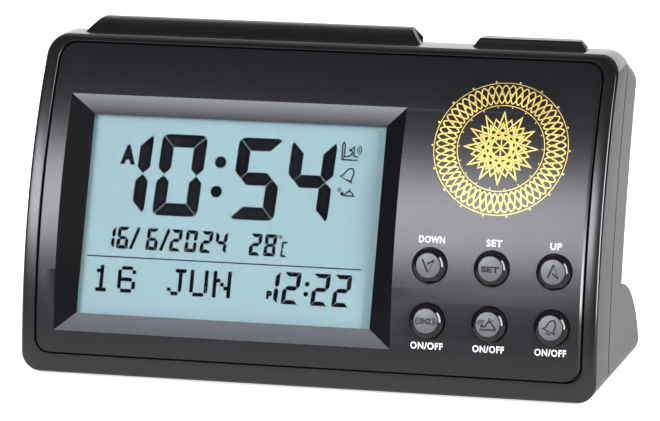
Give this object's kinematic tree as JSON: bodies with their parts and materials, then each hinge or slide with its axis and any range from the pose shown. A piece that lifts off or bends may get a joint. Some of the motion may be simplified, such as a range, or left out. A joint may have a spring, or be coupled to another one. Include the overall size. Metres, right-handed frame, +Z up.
{
  "type": "azan clock",
  "caption": "Desk clock with a leaning convex face, recessed liquid crystal display, round keys, two top keys, a hollow back and a foot that holds the batteries.",
  "frame": {"origin": "centre of the bounding box at the plane that the rubber feet stand on", "axes": "+X to the right of the face, +Y to the back, +Z up"},
  "size_m": [0.17, 0.0622, 0.0994],
  "materials": {
    "frame_plastic": "satin black moulded ABS",
    "face_plastic": "dark graphite metallic lacquer, satin",
    "lens": "clear acrylic, glossy",
    "lcd": "pale teal reflective liquid crystal cell",
    "white_plastic": "white moulded polycarbonate",
    "elastomer": "layered conductive silicone",
    "light_guide": "frosted acrylic",
    "led": "moulded package",
    "circuit_board": "green solder mask on glass epoxy",
    "black_epoxy": "black potting",
    "bright_metal": "nickel plated",
    "components": "moulded component bodies",
    "switch_plastic": "black moulded nylon",
    "ribbon": "grey vinyl",
    "shell_plastic": "satin charcoal moulded ABS",
    "dark_steel": "black zinc",
    "speaker_paper": "black pressed paper cone",
    "ferrite": "ferrite magnet",
    "battery_can": "lacquered steel can",
    "screw_steel": "zinc plated",
    "rubber": "black rubber",
    "top_plastic": "satin gloss black moulded ABS",
    "key_plastic": "gloss black key with a grey top"
  },
  "bodies": {
    "case": {"front_frame": "frame_plastic", "faceplate": "face_plastic", "lcd_lens": "lens", "lcd_cell": "lcd", "lcd_holder": "white_plastic", "zebra_strips": "elastomer", "light_guide": "light_guide", "backlight_leds": "led", "main_board": "circuit_board", "clock_chip": "black_epoxy", "quartz_crystal": "bright_metal", "board_parts": "components", "key_board": "circuit_board", "key_switches": "switch_plastic", "ribbon_cable": "ribbon", "top_board": "circuit_board", "top_switches": "switch_plastic", "bar_springs": "bright_metal", "cap_springs": "bright_metal", "back_shell": "shell_plastic", "speaker_basket": "dark_steel", "speaker_cone": "speaker_paper", "speaker_magnet": "ferrite", "battery_tray": "shell_plastic", "rear_battery": "battery_can", "front_battery": "battery_can", "battery_springs": "bright_metal", "battery_plates": "bright_metal", "case_screws": "screw_steel", "board_screws": "screw_steel", "rubber_feet": "rubber"},
    "down_button": {"down_key": "key_plastic", "down_plunger": "switch_plastic"},
    "set_button": {"set_key": "key_plastic", "set_plunger": "switch_plastic"},
    "up_button": {"up_key": "key_plastic", "up_plunger": "switch_plastic"},
    "snooze_button": {"snooze_key": "key_plastic", "snooze_plunger": "switch_plastic"},
    "azan_button": {"azan_key": "key_plastic", "azan_plunger": "switch_plastic"},
    "alarm_button": {"alarm_key": "key_plastic", "alarm_plunger": "switch_plastic"},
    "snooze_bar": {"top_bar": "top_plastic", "bar_plunger": "switch_plastic"},
    "top_button": {"top_cap": "top_plastic", "cap_plunger": "switch_plastic"},
    "battery_cover": {"battery_door": "shell_plastic"}
  },
  "joints": [
    {"name": "down_press", "type": "slide", "parent": "case", "child": "down_button", "axis": [0, 0.981, -0.1942], "range_m": [0, 0.0006], "stiffness_N_per_m": 1500},
    {"name": "set_press", "type": "slide", "parent": "case", "child": "set_button", "axis": [0, 0.981, -0.1942], "range_m": [0, 0.0006], "stiffness_N_per_m": 1500},
    {"name": "up_press", "type": "slide", "parent": "case", "child": "up_button", "axis": [0, 0.981, -0.1942], "range_m": [0, 0.0006], "stiffness_N_per_m": 1500},
    {"name": "snooze_press", "type": "slide", "parent": "case", "child": "snooze_button", "axis": [0, 0.981, -0.1942], "range_m": [0, 0.0006], "stiffness_N_per_m": 1500},
    {"name": "azan_press", "type": "slide", "parent": "case", "child": "azan_button", "axis": [0, 0.981, -0.1942], "range_m": [0, 0.0006], "stiffness_N_per_m": 1500},
    {"name": "alarm_press", "type": "slide", "parent": "case", "child": "alarm_button", "axis": [0, 0.981, -0.1942], "range_m": [0, 0.0006], "stiffness_N_per_m": 1500},
    {"name": "bar_press", "type": "slide", "parent": "case", "child": "snooze_bar", "axis": [0, 0, -1], "range_m": [0, 0.0012], "stiffness_N_per_m": 900, "springref_m": -0.0006, "deforming": ["bar_springs"]},
    {"name": "cap_press", "type": "slide", "parent": "case", "child": "top_button", "axis": [0, 0, -1], "range_m": [0, 0.0012], "stiffness_N_per_m": 900, "springref_m": -0.0006, "deforming": ["cap_springs"]},
    {"name": "door_hinge", "type": "hinge", "parent": "case", "child": "battery_cover", "pos_m": [0, 0.02922, 0.00471], "axis": [-1, 0, 0], "range_deg": [0, 60]}
  ]
}
